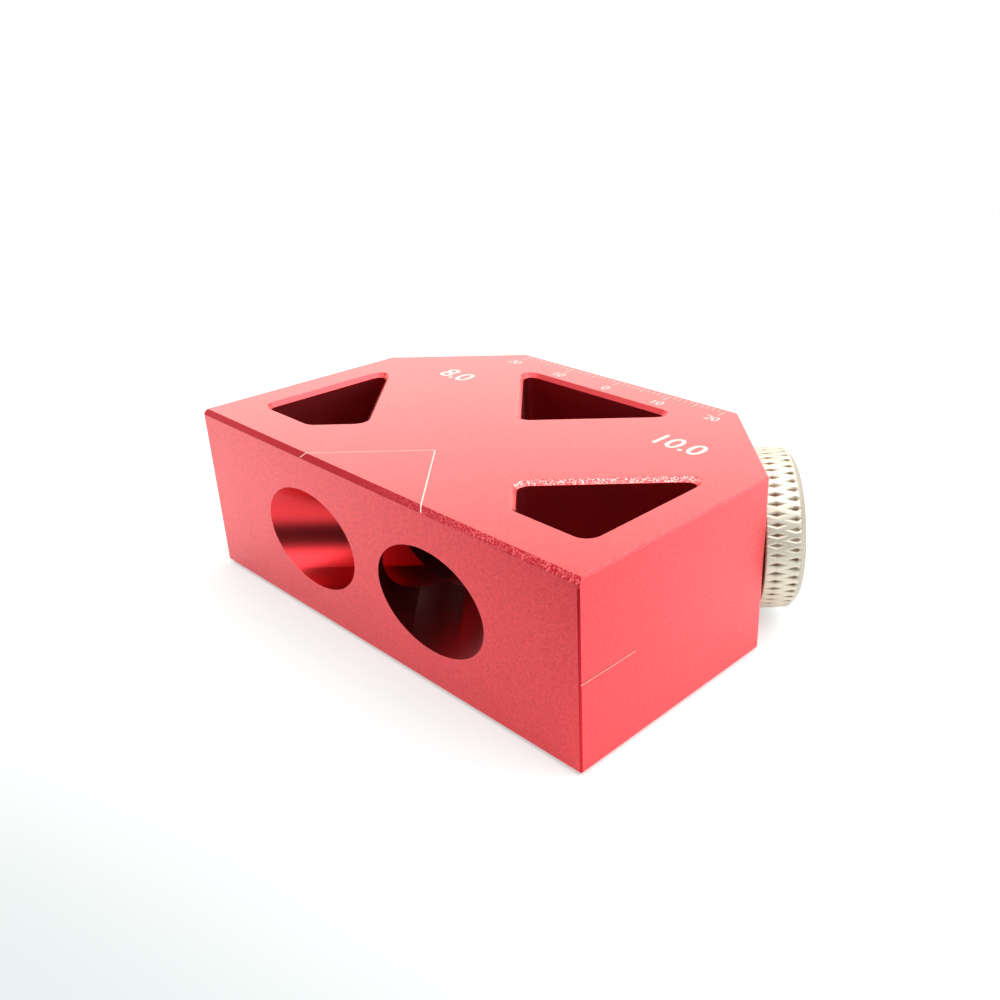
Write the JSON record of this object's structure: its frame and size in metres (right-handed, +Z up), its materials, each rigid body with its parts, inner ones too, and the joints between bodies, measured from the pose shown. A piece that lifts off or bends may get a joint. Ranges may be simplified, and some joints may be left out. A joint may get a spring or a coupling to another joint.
{
  "type": "angle drill guide",
  "caption": "Flat anodised aluminium block with crossing bores at 45 degrees to its work face, windows between them and knurled pull-out drill sleeves at the cut back corners.",
  "frame": {"origin": "on the base plane, straight below the point where the two drill axes cross", "axes": "+Z up from the base, -Y out of the work face that lies against the workpiece, +X towards the end beside the large sleeve"},
  "size_m": [0.0814, 0.0532, 0.025],
  "materials": {
    "anodised_red": "bead blasted, red anodised",
    "plated_steel": "turned, knurled and nickel plated"
  },
  "bodies": {
    "block": {"block": "anodised_red"},
    "large_sleeve": {"sleeve_10": "plated_steel"},
    "small_sleeve": {"sleeve_8": "plated_steel"}
  },
  "joints": [
    {"name": "large_sleeve_pull", "type": "slide", "parent": "block", "child": "large_sleeve", "axis": [0.7071, 0.7071, 0], "range_m": [0, 0.034]},
    {"name": "small_sleeve_pull", "type": "slide", "parent": "block", "child": "small_sleeve", "axis": [-0.7071, 0.7071, 0], "range_m": [0, 0.034]}
  ]
}
